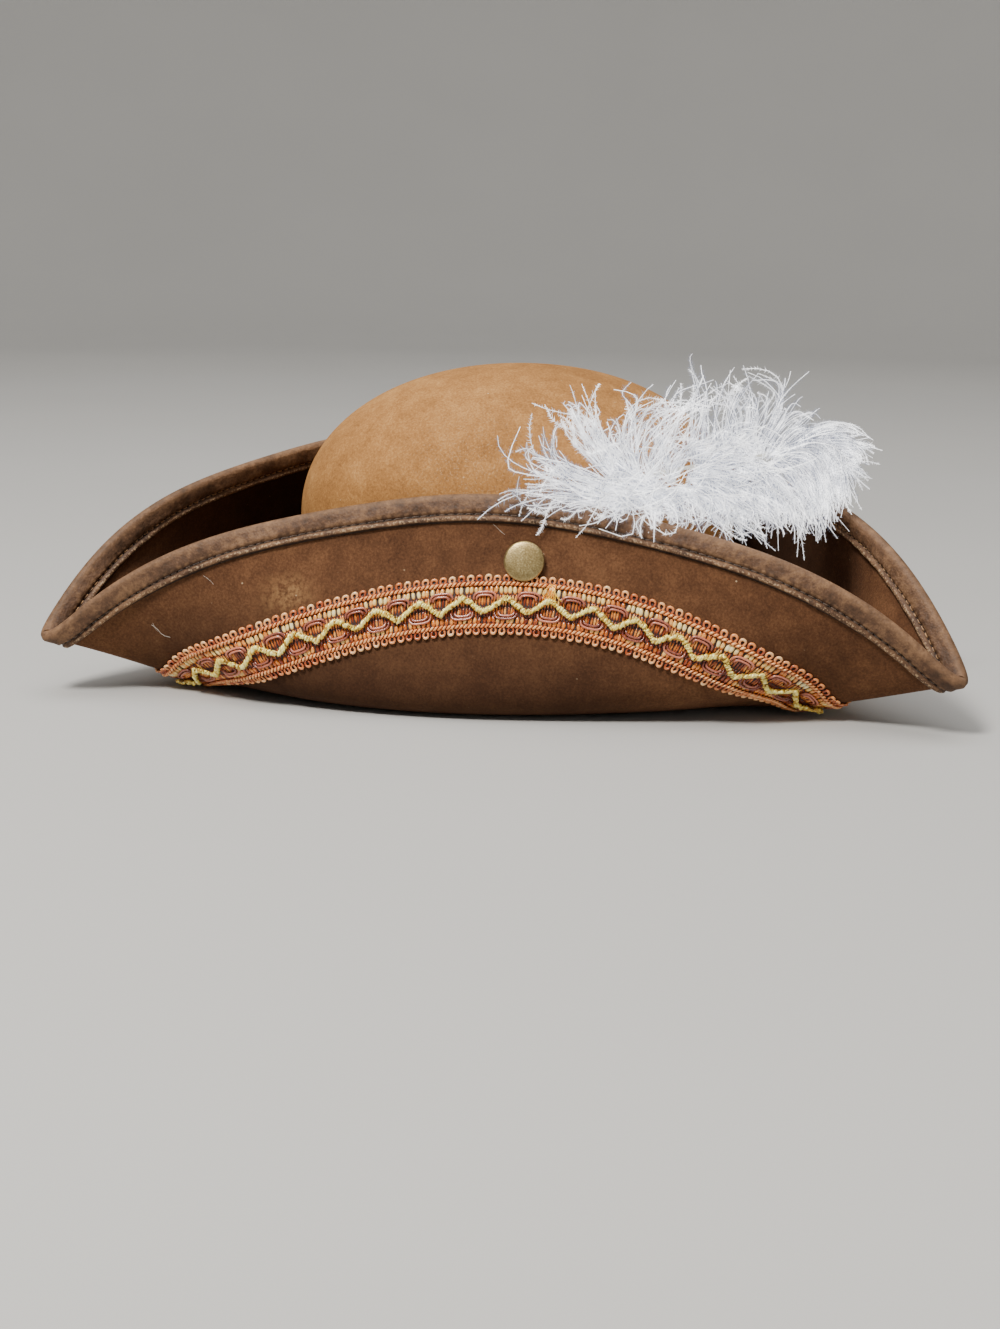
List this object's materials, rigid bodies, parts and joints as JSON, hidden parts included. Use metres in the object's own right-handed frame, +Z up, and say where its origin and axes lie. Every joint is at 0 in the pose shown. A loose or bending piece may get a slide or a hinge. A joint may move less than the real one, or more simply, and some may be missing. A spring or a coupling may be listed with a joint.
{
  "type": "tricorn hat",
  "caption": "Stiff felt tricorn hat: domed crown, brim turned up into flaps with pointed corners, bound edge, ornamental braid, snap stud and a white plume.",
  "frame": {"origin": "middle of the hat's box, on the plane that the brim rests on", "axes": "+Z up, -Y towards the front corner, +X towards the wearer's left"},
  "size_m": [0.3742, 0.354, 0.1451],
  "materials": {
    "crown_felt": "matt felt, brushed",
    "brim_felt": "matt felt, brushed",
    "binding": "smooth, low sheen",
    "braid": "satin thread",
    "brass": "antique, matt",
    "feather": "soft down"
  },
  "bodies": {
    "root": {"crown": "crown_felt", "brim": "brim_felt", "edge_binding": "binding", "braid": "braid", "snap_stud": "brass", "plume": "feather"}
  },
  "joints": []
}
